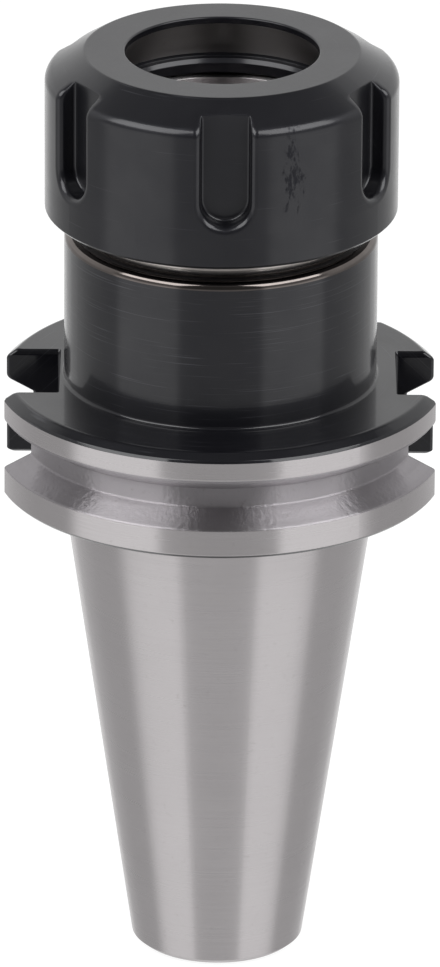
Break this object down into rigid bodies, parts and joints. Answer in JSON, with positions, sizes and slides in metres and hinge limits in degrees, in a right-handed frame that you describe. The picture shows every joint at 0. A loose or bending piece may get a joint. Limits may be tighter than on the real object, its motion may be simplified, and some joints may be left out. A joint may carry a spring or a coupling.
{
  "type": "collet chuck holder",
  "caption": "Steep-taper tool holder with a V-grooved flange, a tapered collet socket through its nose and a slotted clamping nut screwed on the nose.",
  "frame": {"origin": "centre of the shank's small end, on which the holder stands", "axes": "+Z along the axis from the small end to the clamping nut, drive slots on -X (deeper) and +X, -Y towards the viewer of the picture"},
  "size_m": [0.0614, 0.0636, 0.136],
  "materials": {
    "holder_steel": "ground bright on taper, flange rim and groove; black oxide on nose, flange top and slots",
    "blackened_steel": "fine-turned, black oxide, semi-gloss"
  },
  "bodies": {
    "holder": {"holder_body": "holder_steel"},
    "nut": {"clamping_nut": "blackened_steel"}
  },
  "joints": [
    {"name": "nut_turn", "type": "hinge", "parent": "holder", "child": "nut", "pos_m": [0, 0, 0.1244], "axis": [0, 0, 1], "range_deg": [-165, 3170]}
  ]
}
